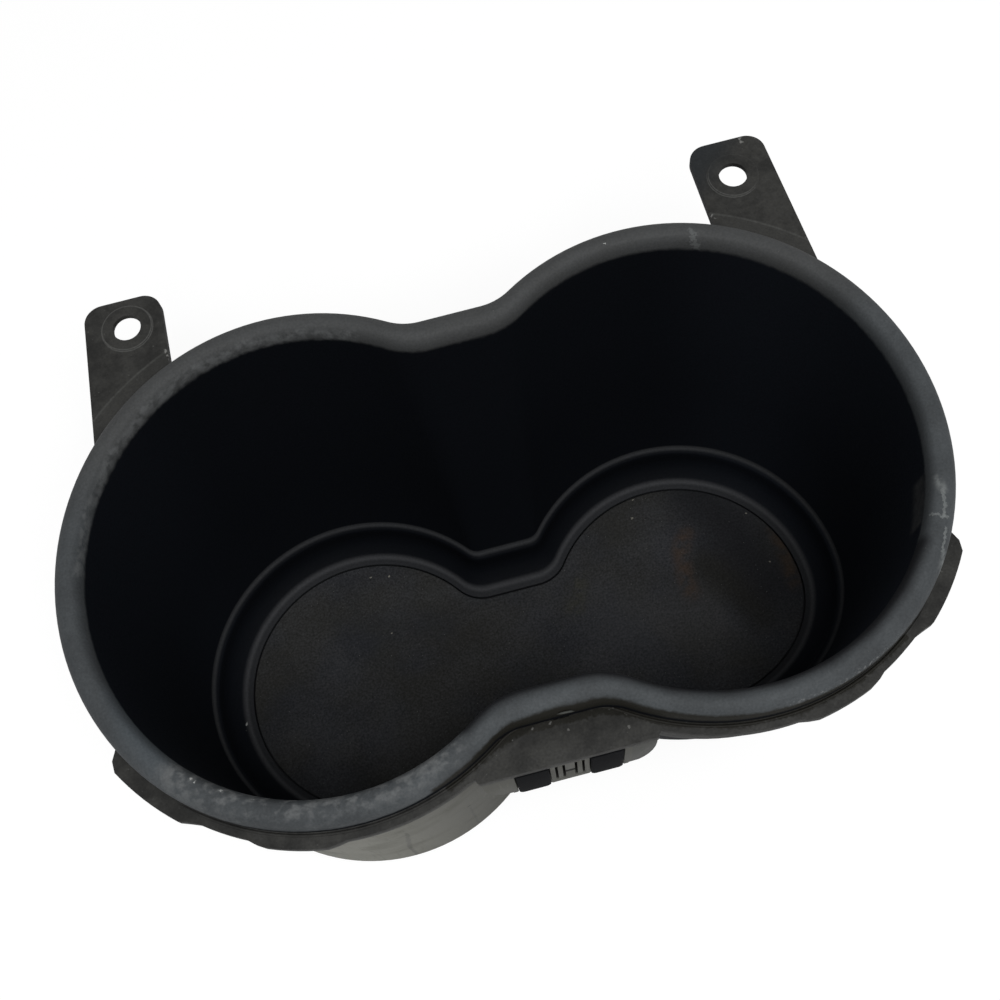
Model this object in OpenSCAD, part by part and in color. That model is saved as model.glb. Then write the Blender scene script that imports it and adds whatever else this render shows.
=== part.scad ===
// Twin cup holder insert for a car centre console.
// Millimetres. The origin is on the underside, midway between the two cup floors,
// with +X to the right cup, +Y to the two screw tabs at the back and +Z up.

/* [Cups] */
// Distance between the centres of the two cups
cup_spacing = 75.7; // [72:0.1:84]
// Height from the underside to the top of the rim
overall_h = 79; // [70:0.5:95]
// Inside width of a cup at its mouth, across the insert
mouth_w = 86.6; // [82:0.1:88]
// Inside length of a cup at its mouth, front to back
mouth_l = 93.4; // [86:0.1:96]
// Half width of the waist between the cups at the mouth
mouth_waist = 36.4; // [30:0.1:40]
// Radius that blends the waist into the cups at the mouth
mouth_blend = 17; // [8:0.5:22]
// How far the mouths sit behind the cup floors
mouth_back = 7.6; // [0:0.1:9]
// Inside diameter of a cup at its ledge
ledge_d = 75.6; // [70:0.1:78]
// Half width of the waist at the ledge
ledge_waist = 22.6; // [16:0.1:26]
// Radius that blends the waist into the cups at the ledge
ledge_blend = 3.5; // [2:0.5:8]
// How much flatter the front of the right cup is at its ledge
right_flat = 4.8; // [0:0.1:5.4]

/* [Liner] */
// Wall of the moulded liner
liner_wall = 1.6; // [1.2:0.1:2]
// Width of the rolled rim
rim_w = 5.3; // [4.8:0.1:7]
// Height of the rolled rim
rim_h = 6; // [5:0.1:9]
// Extra width of the rim at the waist
rim_waist_extra = 0.9; // [0:0.1:1.5]
// Width of the ledge at the foot of the wall
ledge_w = 1.6; // [1:0.1:2.4]
// Height of the ledge above the mat
ledge_h = 9; // [7:0.5:14]
// Diameter of the floor inside the fillet
floor_d = 60.2; // [54:0.1:62]
// Thickness of the liner under the mat
floor_t = 2.4; // [2:0.1:4]
// Depth of the hollow under the floor
foot_hollow = 0.9; // [0.4:0.1:1.2]
// Width of the foot that runs round the underside
foot_w = 3; // [2:0.1:5]

/* [Floor mat] */
// Thickness of the mat
mat_t = 1.5; // [1:0.1:2.5]
// Gap round the mat
mat_gap = 0.3; // [0.1:0.05:0.6]

/* [Carrier frame] */
// Thickness of the flange
flange_t = 2.6; // [2:0.1:4]
// Flange beyond the mouth at the sides and the back, under the rim
flange_side = 4.7; // [4.5:0.1:4.8]
// Flange beyond the mouth along the front
flange_front = 7.2; // [6:0.1:9]
// Height of the collar below the flange
collar_h = 9; // [5:0.5:14]
// Wall of the collar
collar_t = 1.1; // [0.9:0.05:1.3]
// Clearance between nested walls
nest_gap = 0.2; // [0.1:0.05:0.3]
// Width of the straight front edge of the waist plate
plate_w = 33; // [28:0.5:40]
// Distance from the cup centre line to that edge
plate_front = 42.7; // [42:0.1:46]

/* [Screw tabs] */
// Distance between the two screw holes
hole_spacing = 133; // [124:0.5:140]
// Distance from the cup centre line back to the screw holes
hole_back = 69; // [64:0.5:74]
// Diameter of a screw hole
hole_d = 6; // [4:0.1:7]
// Diameter of the ring round a hole
ring_d = 10.8; // [9:0.1:13]
// Height of that ring above the tab
ring_h = 0.4; // [0.2:0.1:1.5]
// Thickness of the land that the screw clamps
land_t = 1.2; // [0.8:0.1:1.8]
// Diameter of the pocket under the land
pocket_d = 9; // [8:0.1:10]
// Thickness of a tab
tab_t = 2; // [1.6:0.1:3]
// How far the middle of a tab lies outside its hole
tab_out = 0.6; // [0:0.1:1.5]
// Width of a tab
tab_w = 16.6; // [14:0.1:20]
// Left tab beyond the centre of its hole
left_tab_end = 7.2; // [7:0.1:12]
// Right tab beyond the centre of its hole
right_tab_end = 9.4; // [7:0.1:12]
// Corner radius of a tab
tab_r = 4; // [2:0.5:6]
// How far a tab is set below the flange
tab_drop = 0.8; // [0.2:0.1:1.2]
// Height of the stiffening webs under a tab
web_h = 3.6; // [2:0.1:6]

/* [Lower housing] */
// Wall of the housing
housing_wall = 1.5; // [1.2:0.1:1.7]
// Gap under the housing when the insert stands on a table
housing_lift = 2; // [1:0.5:6]
// Height of the housing round the right cup
right_h = 17; // [16:0.2:30]
// Height of the front bracket
bracket_h = 15.8; // [12:0.1:20]
// Width of the front bracket
bracket_w = 22.6; // [22:0.1:26]
// Thickness of the bracket's end walls
bracket_wall = 0.9; // [0.7:0.1:1.3]

/* [Bump stops] */
// Width of a rubber stop
stop_w = 6.3; // [5:0.1:6.6]
// Depth of a rubber stop, front to back
stop_d = 5; // [3:0.1:6]
// How far a stop stands out of the bracket
stop_proud = 0.4; // [0:0.1:1.5]
// Corner radius of a stop
stop_r = 1.2; // [0.4:0.1:2]

/* [Hidden] */

black = [0.10, 0.105, 0.11];
mat_black = [0.14, 0.15, 0.15];
olive_grey = [0.22, 0.22, 0.21];
pale_grey = [0.46, 0.46, 0.42];
rubber_black = [0.06, 0.06, 0.065];

// Points along one quarter of the figure eight: the blend and the cup.
blend_pts = 5;
cup_pts = 14;
quarter_pts = blend_pts + cup_pts;

half = cup_spacing / 2;
mouth_d = 4;
floor_top = floor_t + mat_t;
ledge_top = floor_top + ledge_h;
ledge_r = ledge_d / 2;
pocket_r = ledge_r - ledge_w;
floor_r = floor_d / 2;
pocket_drop = pocket_r - floor_r;
waist_rate = 1.13;
blend_rate = 0.7;
flange_top = overall_h - rim_h;
flange_under = flange_top - flange_t;
tab_top = flange_top - tab_drop;
collar_in = liner_wall + nest_gap;
collar_out = collar_in + collar_t;
housing_in = collar_out + nest_gap;
housing_out = housing_in + housing_wall;
foot_r = floor_r + 4;
foot_step = 2.6;
foot_h = floor_t - 0.4;
collar_foot = flange_under - collar_h;
lug_h = 3;
lug_reach = 0.8;
// The housing is straight down to this height, beside the collar and the lugs.
housing_bend = collar_foot - 2 * nest_gap - lug_h - 0.6;
// How far the housing stands outside the ledge.
ledge_reach = 3.5;
// The front bracket, its wings, and the posts and slots of its clip.
bracket_front = plate_front - 0.2;
bracket_in = bracket_w / 2 - bracket_wall;
web_half = bracket_in - stop_w - 2 * nest_gap;
stop_seat = stop_proud + bracket_front - stop_d;
bracket_depth = bracket_front - mouth_waist + mouth_back - housing_in;
wing_w = 5.6;
post_w = 0.9;
post_x = 1.85;
slot_w = 1.9;
slot_h = 12.2;
slot_top = flange_under - 1.4;
cut = 0.5;
big = 200;

// A plan is [half width, half length, waist, blend, centre y, flattening of the right front].
mouth_plan = [mouth_w / 2, mouth_l / 2, mouth_waist, mouth_blend, mouth_back, 0];
ledge_plan = [ledge_r, ledge_r, ledge_waist, ledge_blend, 0, right_flat];

function mix(a, b, u) = a + (b - a) * u;
function plan_mix(a, b, u) = [for (i = [0:5]) mix(a[i], b[i], u)];
function wall_u(z) = max(0, min(1, (overall_h - mouth_d - z) / (overall_h - mouth_d - ledge_top)));
function wall_plan(z) = plan_mix(mouth_plan, ledge_plan, wall_u(z));
// The plan grown by t all round, with e more at the waist.
function grown(p, t, e = 0) = [p[0] + t, p[1] + t, p[2] + t + e, max(p[3] - t, 0.5), p[4], p[5]];
// The plan of the pocket below the ledge, s inside the ledge plan.
function pocket_plan(s) = [ledge_r - s, ledge_r - s, ledge_waist - s * waist_rate,
    ledge_blend + s * blend_rate, 0, right_flat];

// Largest blend that still leaves a straight waist.
function blend_limit(rx, m) = rx > m + 0.1 ? 0.97 * (half * half - rx * rx + m * m) / (2 * (rx - m)) : big;

// One quarter of the figure eight, from the end of the straight waist to the outer end,
// worked out on a round cup and then stretched to the cup's real length.
function quarter(rx, ry, waist, blend) =
    let (k = rx / ry, m = waist * k, f = min(blend, blend_limit(rx, m)),
         xf = half - sqrt(pow(rx + f, 2) - pow(m + f, 2)), a = atan2(m + f, xf - half))
    [for (i = [0:blend_pts - 1])
        let (b = -90 + (a - 90) * i / blend_pts) [xf + f * cos(b), (m + f + f * sin(b)) / k],
     for (i = [0:cup_pts])
        let (b = a * (1 - i / cup_pts)) [half + rx * cos(b), rx * sin(b) / k]];

// The closed figure eight, counterclockwise from the far right.
function outline(p) =
    let (q = quarter(p[0], p[1], p[2], p[3]), r = quarter(p[0], p[1] - p[5], p[2], p[3]), n = quarter_pts)
    [for (i = [n:-1:0]) [q[i][0], p[4] + q[i][1]],
     for (i = [0:n]) [-q[i][0], p[4] + q[i][1]],
     for (i = [n - 1:-1:0]) [-q[i][0], p[4] - q[i][1]],
     for (i = [0:n - 1]) [r[i][0], p[4] - r[i][1]]];

// A solid through closed rings; each level is [height, plan]. The two ends are closed by
// strips across the figure eight, from each point of the back to its mate at the front.
module loft(levels) {
    n = len(outline(levels[0][1]));
    last = len(levels) - 1;
    pts = [for (l = levels) for (q = outline(l[1])) [q[0], q[1], l[0]]];
    strips = [for (j = [0:n / 2 - 1]) j == 0 ? [0, 1, n - 1]
        : j == n / 2 - 1 ? [j, j + 1, j + 2] : [j, j + 1, n - j - 1, n - j]];
    faces = [
        each strips,
        for (j = [0:last - 1]) for (i = [0:n - 1])
            let (a = j * n + i, b = j * n + (i + 1) % n) each [[a, a + n, b + n], [a, b + n, b]],
        for (s = strips) [for (i = [len(s) - 1:-1:0]) last * n + s[i]]
    ];
    polyhedron(points = pts, faces = faces, convexity = 10);
}

// Levels of the liner's outside, from inside the foot plate to the underside of the rim.
function liner_outside() = [
    [foot_hollow + 0.3, pocket_plan(ledge_r - foot_r + foot_step)],
    [floor_top - 0.6, pocket_plan(pocket_drop * 0.55 - liner_wall)],
    [ledge_top - 2.2, pocket_plan(ledge_w - liner_wall)],
    [ledge_top - 1, pocket_plan(-liner_wall + 0.3)],
    for (u = [0, 0.33, 0.67])
        let (z = mix(ledge_top, flange_top, u)) [z, grown(wall_plan(z), liner_wall)],
    [flange_top, grown(wall_plan(flange_top), liner_wall)]
];

// Levels of the rolled rim, from its underside over the top and into the mouth.
function rim_levels() = [
    for (r = [[1, 0.88], [0.9, 1], [0.55, 1.01], [0.36, 0.98], [0.18, 0.88], [0.06, 0.72], [0, 0.52],
              [0.02, 0.36], [0.09, 0.2], [0.25, 0.08], [0.45, 0.02]])
        [overall_h - r[0] * rim_h, grown(mouth_plan, r[1] * rim_w, r[1] * rim_waist_extra)]
];

// Levels of the liner's inside, from the mouth down to the recess of the mat.
function liner_inside() = [
    [overall_h - mouth_d, mouth_plan],
    for (u = [0.33, 0.67]) let (z = mix(overall_h - mouth_d, ledge_top, u)) [z, wall_plan(z)],
    [ledge_top + 0.4, wall_plan(ledge_top)],
    [ledge_top, pocket_plan(ledge_w * 0.15)],
    [ledge_top - 0.35, pocket_plan(ledge_w * 0.55)],
    [ledge_top - 0.8, pocket_plan(ledge_w * 0.88)],
    [ledge_top - 1.5, pocket_plan(ledge_w)],
    for (r = [[0.6, 0.05], [0.42, 0.16], [0.26, 0.36], [0.13, 0.6], [0.04, 0.82], [0, 0.96]])
        [floor_top + r[0] * ledge_h, pocket_plan(ledge_w + r[1] * pocket_drop)],
    [floor_t, pocket_plan(ledge_w + 0.965 * pocket_drop)]
];

// Moulded liner: two drafted cups joined at a waist, a ledge, a fillet and a rolled rim.
// One loft runs up the outside, over the rim and down the inside to the mat's recess.
module liner() {
    color(black) union() {
        loft(concat(liner_outside(), rim_levels(), liner_inside()));
        snap_lugs();
        foot_plate();
    }
}

// Foot plate under the floor, hollowed between its edge and three cross ribs.
module foot_plate() {
    rib_t = 1.4;
    difference() {
        linear_extrude(foot_h) polygon(outline(pocket_plan(ledge_r - foot_r)));
        translate([0, 0, -cut]) linear_extrude(foot_hollow + cut) difference() {
            polygon(outline(pocket_plan(ledge_r - foot_r + foot_w)));
            for (x = [-half, 0, half]) translate([x - rib_t / 2, -big / 2]) square([rib_t, big]);
        }
    }
}

// Small lugs on the wall that catch under the collar of the carrier frame.
module snap_lugs() {
    lug_w = 7;
    z = collar_foot - nest_gap - lug_h;
    root = wall_plan(z + lug_h);
    tip = grown(mouth_plan, collar_in + lug_reach);
    depth_x = tip[0] - root[0] - liner_wall / 2;
    depth_y = mouth_plan[4] + tip[1] - root[4] - root[1] - liner_wall / 2;
    for (s = [-1, 1]) {
        front = root[1] - (s > 0 ? root[5] : 0) - root[4] + liner_wall / 2;
        depth_f = tip[1] - mouth_plan[4] - front;
        translate([s * (half + tip[0] - depth_x / 2) - depth_x / 2, root[4] - lug_w / 2, z])
            cube([depth_x, lug_w, lug_h]);
        translate([s * half - lug_w / 2, mouth_plan[4] + tip[1] - depth_y, z]) cube([lug_w, depth_y, lug_h]);
        translate([s * half - lug_w / 2, mouth_plan[4] - tip[1], z]) cube([lug_w, depth_f, lug_h]);
    }
}

// Loose mat that lies flush in the floor.
module floor_mat() {
    edge = pocket_plan(ledge_w + 0.965 * pocket_drop + mat_gap);
    color(mat_black) translate([0, 0, floor_t]) linear_extrude(mat_t) polygon(outline(edge));
}

// Rises from 0 to 1 as the angle a falls past the angle at.
function step(a, at) = max(0, min(1, (at - a) / 3 + 0.5));

// Width of the flange beyond the mouth at angle a round a cup: 0 is the outer end and
// -90 the front. Two shallow lugs stand out along the front.
function flange_beyond(a) = flange_side
    + (flange_front + 1.3 - flange_side) * step(a, -32)
    - 1.2 * step(a, -53)
    + 0.8 * step(a, -67)
    - 0.9 * step(a, -84);

// Outline of the flange: the mouth's figure eight grown by flange_beyond.
function flange_outline() =
    let (p = mouth_plan, k = p[0] / p[1], m = p[2] * k, f = min(p[3], blend_limit(p[0], m)),
         xf = half - sqrt(pow(p[0] + f, 2) - pow(m + f, 2)), a = atan2(m + f, xf - half),
         front = [for (i = [0:60]) let (b = -a + i * a / 60, t = flange_beyond(b))
            [half + (p[0] + t) * cos(b), p[4] + (p[1] + t) * sin(b)]],
         back = outline(grown(p, flange_side)),
         n = 2 * quarter_pts + 1)
    concat([for (i = [0:n]) back[i]], [for (i = [59:-1:0]) [-front[i][0], front[i][1]]],
        [for (i = [0:59]) front[i]]);

// Flange, waist plate and collar under the rim, with two screw tabs at the back.
module carrier_frame() {
    color(olive_grey) difference() {
        union() {
            translate([0, 0, flange_under]) linear_extrude(flange_t) polygon(flange_outline());
            waist_plate();
            translate([0, 0, collar_foot])
                linear_extrude(collar_h + cut) polygon(outline(grown(mouth_plan, collar_out)));
            for (s = [-1, 1]) tab(s);
        }
        translate([0, 0, collar_foot - cut]) linear_extrude(collar_h + flange_t + 2 * cut)
            polygon(outline(grown(mouth_plan, collar_in)));
        for (s = [-1, 1]) translate([s * hole_spacing / 2, hole_back, 0]) {
            cylinder(d = hole_d, h = overall_h, $fn = 64);
            cylinder(d = pocket_d, h = tab_top + ring_h - land_t, $fn = 64);
        }
        latch_notch();
    }
}

// Flat plate that fills the front of the waist out to a straight edge.
module waist_plate() {
    back = mouth_back - mouth_waist;
    slant = 9;
    translate([0, 0, flange_under]) linear_extrude(flange_t) polygon([
        [-plate_w / 2, -plate_front], [plate_w / 2, -plate_front],
        [plate_w / 2 + slant, back], [-plate_w / 2 - slant, back]]);
}

// Notch in the plate where the rim's front clip is pressed home.
module latch_notch() {
    notch_w = 3;
    notch_d = 1.6;
    y = mouth_back - mouth_waist - rim_w - rim_waist_extra;
    translate([-1, y - notch_d, flange_top - flange_t / 2]) cube([notch_w, notch_d + 1, flange_t]);
}

// Screw tab: a plate with rounded corners, a raised ring and two stiffening webs.
module tab(s) {
    x = s * (hole_spacing / 2 + tab_out);
    end = hole_back + (s < 0 ? left_tab_end : right_tab_end);
    foot = 30;
    flare = 1.4;
    web_t = 1.4;
    y_in = hole_back - foot;
    side = tab_w / 2;
    difference() {
        union() {
            translate([0, 0, tab_top - tab_t]) linear_extrude(tab_t) union() {
                for (c = [-1, 1]) translate([x + c * (side - tab_r), end - tab_r]) circle(r = tab_r, $fn = 48);
                polygon([
                    [x - side, y_in], [x - side, end - tab_r], [x - side + tab_r, end],
                    [x + side - tab_r, end], [x + side, end - tab_r], [x + side, y_in]]);
                polygon([
                    [x + s * (side - 1), end - tab_r], [x + s * side, end - tab_r],
                    [x + s * (side + flare), y_in], [x + s * (side - 1), y_in]]);
            }
            step_pad(x);
            translate([s * hole_spacing / 2, hole_back, tab_top - cut])
                cylinder(d = ring_d, h = ring_h + cut, $fn = 64);
            for (c = [-1, 1])
                translate([x + c * (side - web_t) - web_t / 2, y_in, tab_top - tab_t - web_h])
                    cube([web_t, hole_back - ring_d - y_in, web_h + cut]);
        }
        translate([0, 0, flange_under - big]) linear_extrude(big)
            polygon(outline(grown(mouth_plan, housing_out + 2 * nest_gap)));
        translate([0, 0, flange_under - cut]) linear_extrude(big)
            polygon(outline(grown(mouth_plan, collar_in)));
    }
}

// Raised step at the root of a tab, level with the flange.
module step_pad(x) {
    reach = 5.2;
    translate([0, 0, flange_under]) linear_extrude(flange_t) intersection() {
        polygon(outline(grown(mouth_plan, flange_side + reach)));
        translate([x - tab_w / 2, 0]) square([tab_w, hole_back]);
    }
}

// Housing under the flange, deep round the left cup and shallow round the right one,
// with a bracket under the waist plate for two rubber stops and a clip. One level cut
// trims it all under the flange.
module lower_housing() {
    color(pale_grey) difference() {
        union() {
            difference() {
                loft(housing_levels(housing_out, 0, cut));
                right_cut();
            }
            bracket();
        }
        loft(housing_levels(housing_in, cut, 2 * cut));
        translate([-big / 2, -big / 2, flange_under]) cube(big);
    }
}

// Below the bend the housing draws in towards the ledge.
function housing_u(z) = max(0, min(1, (housing_bend - z) / (housing_bend - ledge_top)));
function housing_level(z, t) = let (u = housing_u(z))
    [z, grown(plan_mix(mouth_plan, ledge_plan, u), mix(t, t - housing_out + ledge_reach, u))];

// Levels of the housing, run past its foot by below and past its top by above.
function housing_levels(t, below, above) = [
    [housing_lift - below, housing_level(housing_lift, t)[1]],
    for (z = [ledge_top, mix(ledge_top, housing_bend, 0.5), housing_bend]) housing_level(z, t),
    [flange_under + above, housing_level(flange_under, t)[1]]
];

// What is taken away below the right cup.
module right_cut() {
    slope = 9;
    x0 = -4;
    z = flange_under - right_h;
    rotate([90, 0, 0]) linear_extrude(2 * big, center = true) polygon([
        [x0, -big], [x0, housing_lift], [x0 + slope, z], [big, z], [big, -big]]);
}

// Front bracket: two end walls with wings, a seat for the stops, a middle block and
// the clip cut into its face.
module bracket() {
    z = flange_under - bracket_h;
    difference() {
        union() {
            for (s = [-1, 1]) {
                translate([s * (bracket_w - bracket_wall) / 2 - bracket_wall / 2, -bracket_front, z])
                    cube([bracket_wall, bracket_depth, bracket_h + cut]);
                wing(s);
            }
            translate([-web_half, -bracket_front, z]) cube([2 * web_half, bracket_depth, bracket_h + cut]);
            translate([-bracket_w / 2, -stop_seat, z]) cube([bracket_w, housing_wall, bracket_h + cut]);
        }
        difference() {
            clip_slots();
            for (s = [-1, 1])
                translate([s * post_x - post_w / 2, -bracket_front - 2 * cut, slot_top - slot_h + 0.5])
                    cube([post_w, bracket_depth, slot_h - 1]);
        }
    }
}

// Slots that leave an H round the two posts of the clip.
module clip_slots() {
    slot_d = 2.6;
    bar_h = 0.8;
    z = slot_top - slot_h;
    for (s = [-1, 1])
        translate([s * post_x - slot_w / 2, -bracket_front - cut, z]) cube([slot_w, slot_d + cut, slot_h]);
    translate([-post_x, -bracket_front - cut, z + (slot_h - bar_h) / 2]) cube([2 * post_x, slot_d + cut, bar_h]);
}

// Wing beside an end wall, with a rounded lower corner.
module wing(s) {
    t = 1.2;
    x = (bracket_w - bracket_wall) / 2;
    top = flange_under + cut;
    drop = 3 + cut;
    side = 4.2;
    translate([0, -bracket_front, 0]) rotate([90, 0, 0]) mirror([0, 0, 1]) linear_extrude(t) polygon([
        [s * x, top], [s * (x + wing_w), top],
        for (a = [0:15:75])
            [s * (x + wing_w - side * (1 - cos(a))), top - drop - (bracket_h - drop) * sin(a)],
        [s * x, top - bracket_h]]);
}

// Rubber stop in the bracket; it touches the plate above it.
module bump_stop(s) {
    x = s * (web_half + bracket_in) / 2;
    h = bracket_h;
    z = flange_under - h;
    y = -bracket_front - stop_proud;
    color(rubber_black) translate([x, y + stop_d, z]) rotate([90, 0, 0]) linear_extrude(stop_d) union() {
        translate([-stop_w / 2, stop_r]) square([stop_w, h - stop_r]);
        translate([-stop_w / 2 + stop_r, 0]) square([stop_w - 2 * stop_r, stop_r + cut]);
        for (c = [-1, 1]) translate([c * (stop_w / 2 - stop_r), stop_r]) circle(r = stop_r, $fn = 32);
    }
}

module left_bump_stop() bump_stop(-1);
module right_bump_stop() bump_stop(1);

liner();
floor_mat();
carrier_frame();
lower_housing();
left_bump_stop();
right_bump_stop();
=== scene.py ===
# %% [markdown]
# # A twin cup holder insert, in Blender
# The insert drops into a car's centre console. A black liner with two drafted cups is clipped into a
# frame with a flange and two screw tabs, and a pale housing under the flange guards the cups. A loose
# rubber mat lies in the floor, and two rubber stops sit in a bracket at the front.
# The solids are already made and packed. Here they become a fixed frame, and each piece is dressed to
# look like worn, dusty plastic. Everything is in metres, with the origin under the waist of the insert,
# +X to the right cup, +Y to the screw tabs and +Z up.

# %% Load the frame
import math

import bmesh
import bpy
import numpy as np
from mathutils import Matrix, Vector


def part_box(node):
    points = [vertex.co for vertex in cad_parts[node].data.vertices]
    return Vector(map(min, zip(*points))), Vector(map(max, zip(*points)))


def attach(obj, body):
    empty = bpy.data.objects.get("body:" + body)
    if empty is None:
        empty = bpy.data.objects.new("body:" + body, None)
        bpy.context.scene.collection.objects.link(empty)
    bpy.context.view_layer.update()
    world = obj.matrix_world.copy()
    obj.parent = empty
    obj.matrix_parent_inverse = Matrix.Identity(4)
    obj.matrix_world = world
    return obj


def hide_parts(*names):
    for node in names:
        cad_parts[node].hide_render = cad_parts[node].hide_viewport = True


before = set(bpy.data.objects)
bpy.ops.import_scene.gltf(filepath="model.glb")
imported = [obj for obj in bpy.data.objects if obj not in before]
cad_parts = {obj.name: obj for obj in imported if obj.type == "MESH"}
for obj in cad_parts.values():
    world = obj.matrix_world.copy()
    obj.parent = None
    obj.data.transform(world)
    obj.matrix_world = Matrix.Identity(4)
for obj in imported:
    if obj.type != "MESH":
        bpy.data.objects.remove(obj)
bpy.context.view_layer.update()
MM = 0.001
print("frame:", sorted(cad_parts))

# %% [markdown]
# ## The figure eight
# Seen from above, every level of the liner is the same kind of outline: two round cups, a straight
# waist, and a small arc that blends each cup into the waist. Six lengths describe one level. They are
# kept as one row of numbers, called a plan, so that a plan can be grown, shrunk or mixed with another by
# plain arithmetic. All of them are in millimetres, because that is how a moulder would read them.

# %% Plans and levels
HALF_SPACING = 75.7 / 2
# Half width, half length, half waist, blend, shift to the back, flattening of the right front.
MOUTH = np.array([43.3, 46.7, 36.4, 17.0, 7.6, 0.0])
LEDGE = np.array([37.8, 37.8, 22.6, 3.5, 0.0, 4.8])
PER_POCKET_MM = np.array([-1.0, -1.0, -1.13, 0.7, 0.0, 0.0])
RIM_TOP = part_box("liner")[1].z / MM
FLANGE_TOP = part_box("carrier_frame")[1].z / MM
MAT_LOW, MAT_TOP = (corner.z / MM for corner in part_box("floor_mat"))
LEDGE_TOP = MAT_TOP + 9.0
WALL_TOP = RIM_TOP - 4.0
WALL = 1.6
LEDGE_WIDTH = 1.6
POCKET_DROP = 6.1
RIM_WIDTH = 5.3
RIM_HEIGHT = RIM_TOP - FLANGE_TOP
RIM_WAIST_EXTRA = 0.9


def grown(plan, t, waist_extra=0.0):
    """The plan with its walls moved out by t, and by waist_extra more at the waist."""
    blend = max(plan[3] - t, 0.5) - plan[3]
    return plan + np.array([t, t, t + waist_extra, blend, 0.0, 0.0])


def wall_plan(z):
    """The inside of the drafted wall at height z."""
    share = min(max((WALL_TOP - z) / (WALL_TOP - LEDGE_TOP), 0.0), 1.0)
    return MOUTH + (LEDGE - MOUTH) * share


def pocket_plan(inset):
    """The plan of the pocket below the ledge, inset from the ledge's own plan."""
    return LEDGE + inset * PER_POCKET_MM


def level(z, plan):
    """One level of a loft: its height and its plan in one row."""
    return np.array([z, *plan])


print("liner from", round(MAT_LOW, 2), "to", round(RIM_TOP, 2), "mm, ledge at", round(LEDGE_TOP, 2))

# %% [markdown]
# ## One rule for numbers and for nodes
# The outline's rule is needed twice: as plain numbers, for paths that are drawn by the script, and as a
# node tree, for the lofted pieces. It could be written twice, but then the two would drift apart. So a
# small class stands for a number inside a node tree, and arithmetic on it adds Math nodes. The same
# function then gives a point when it is fed numbers, and nodes when it is fed fields. Sums, products and
# comparisons need no entry in the table of plain operations, because Python does them by itself.

# %% Arithmetic that also builds nodes
PLAIN = {"SQRT": math.sqrt, "SINE": math.sin, "COSINE": math.cos, "ARCTAN2": math.atan2,
         "MINIMUM": min, "MAXIMUM": max}


class Field:
    """A number that is worked out inside a node tree."""

    def __init__(self, tree, socket):
        self.tree = tree
        self.socket = socket

    def __add__(self, other): return call("ADD", self, other)
    def __radd__(self, other): return call("ADD", other, self)
    def __sub__(self, other): return call("SUBTRACT", self, other)
    def __rsub__(self, other): return call("SUBTRACT", other, self)
    def __mul__(self, other): return call("MULTIPLY", self, other)
    def __rmul__(self, other): return call("MULTIPLY", other, self)
    def __truediv__(self, other): return call("DIVIDE", self, other)
    def __neg__(self): return call("MULTIPLY", self, -1.0)
    def __abs__(self): return call("ABSOLUTE", self)
    def __mod__(self, other): return call("MODULO", self, other)
    def __gt__(self, other): return call("GREATER_THAN", self, other)
    def __lt__(self, other): return call("LESS_THAN", self, other)


def feed(tree, value, socket):
    """Links a field to a socket, or sets the socket to a plain value."""
    if isinstance(value, Field):
        tree.links.new(value.socket, socket)
    elif isinstance(value, bpy.types.NodeSocket):
        tree.links.new(value, socket)
    else:
        socket.default_value = value


def call(operation, *values):
    """One operation, on plain numbers or as a Math node in the tree of its fields."""
    fields = [v for v in values if isinstance(v, Field)]
    if not fields:
        return PLAIN[operation](*values)
    tree = fields[0].tree
    node = tree.nodes.new("ShaderNodeMath")
    node.operation = operation
    for socket, value in zip(node.inputs, values):
        feed(tree, value, socket)
    return Field(tree, node.outputs[0])


def clamped(value):
    """The value kept between 0 and 1."""
    return call("MAXIMUM", call("MINIMUM", value, 1.0), 0.0)


def between(a, b, share):
    """A share of the way from a to b."""
    return a + (b - a) * share


print("operations:", len(PLAIN))

# %% [markdown]
# The rule itself: `around` runs from 0 at the far right, counterclockwise, to 4. Each quarter has a
# straight stretch at the waist, the blend arc and the cup's arc. A cup is worked out as a circle and
# then stretched to its real length, so that the blend stays tangent to it.

# %% The rule of the figure eight
STRAIGHT_SHARE = 0.05
BLEND_SHARE = 0.2
BLEND_MARGIN = 0.97
THIN = 0.2


def figure_eight(around, width, length, waist, blend, shift, flatten):
    """Where the outline is at a place around it: x and y in millimetres."""
    length = length - flatten * (around > 3.0)
    k = width / length
    neck = waist * k
    room = HALF_SPACING * HALF_SPACING - width * width + neck * neck
    f = call("MINIMUM", blend, room * BLEND_MARGIN / call("MAXIMUM", (width - neck) * 2.0, THIN))
    reach = width + f
    rise = neck + f
    centre = HALF_SPACING - call("SQRT", reach * reach - rise * rise)
    turn = call("ARCTAN2", rise, centre - HALF_SPACING)
    s = abs(1.0 - around % 2.0)
    straight = clamped(s / STRAIGHT_SHARE)
    bend = clamped((s - STRAIGHT_SHARE) / (BLEND_SHARE - STRAIGHT_SHARE))
    sweep = clamped((s - BLEND_SHARE) / (1.0 - BLEND_SHARE))
    low = (turn - math.pi / 2) * bend - math.pi / 2
    high = turn * (1.0 - sweep)
    in_cup = s > BLEND_SHARE
    neck_x, cup_x = centre * straight + f * call("COSINE", low), HALF_SPACING + width * call("COSINE", high)
    neck_y, cup_y = rise + f * call("SINE", low), width * call("SINE", high)
    x, y = between(neck_x, cup_x, in_cup), between(neck_y, cup_y, in_cup) / k
    side = (abs(around - 2.0) > 1.0) * 2.0 - 1.0
    back = 1.0 - (around > 2.0) * 2.0
    return side * x, shift + back * y


print("far right of the mouth:", [round(c, 2) for c in figure_eight(0.0, *MOUTH)],
      "front of the waist:", [round(c, 2) for c in figure_eight(3.0, *MOUTH)])

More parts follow.
